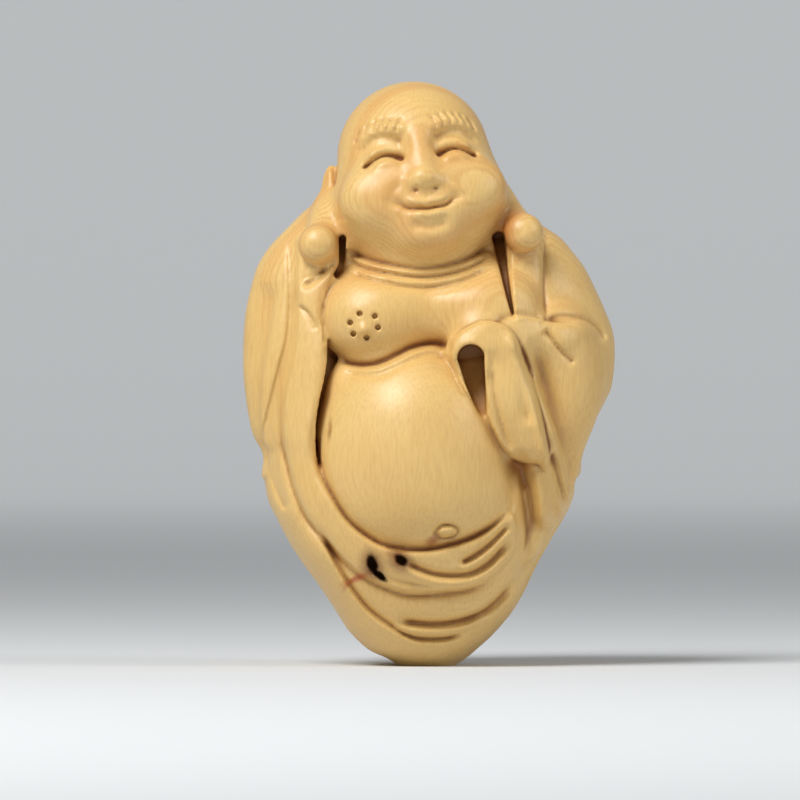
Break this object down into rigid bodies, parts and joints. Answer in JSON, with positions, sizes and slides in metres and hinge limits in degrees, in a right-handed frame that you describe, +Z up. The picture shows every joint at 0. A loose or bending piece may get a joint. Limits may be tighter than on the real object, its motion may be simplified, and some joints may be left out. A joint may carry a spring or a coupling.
{
  "type": "figurine",
  "caption": "Carved wooden figurine of a bald, smiling monk with long ear lobes, a round bare belly and a robe open in front, standing on a small flat foot.",
  "frame": {"origin": "middle of the carving's outline, at the height of the flat foot that it stands on", "axes": "+Z up along the figure's height, -Y to the front where the face and belly are, +X to the figure's own left, which is the viewer's right"},
  "size_m": [0.0574, 0.0459, 0.09],
  "materials": {
    "boxwood": "pale boxwood, carved in the round, rubbed to a satin polish"
  },
  "bodies": {
    "root": {"laughing_buddha_carving": "boxwood"}
  },
  "joints": []
}
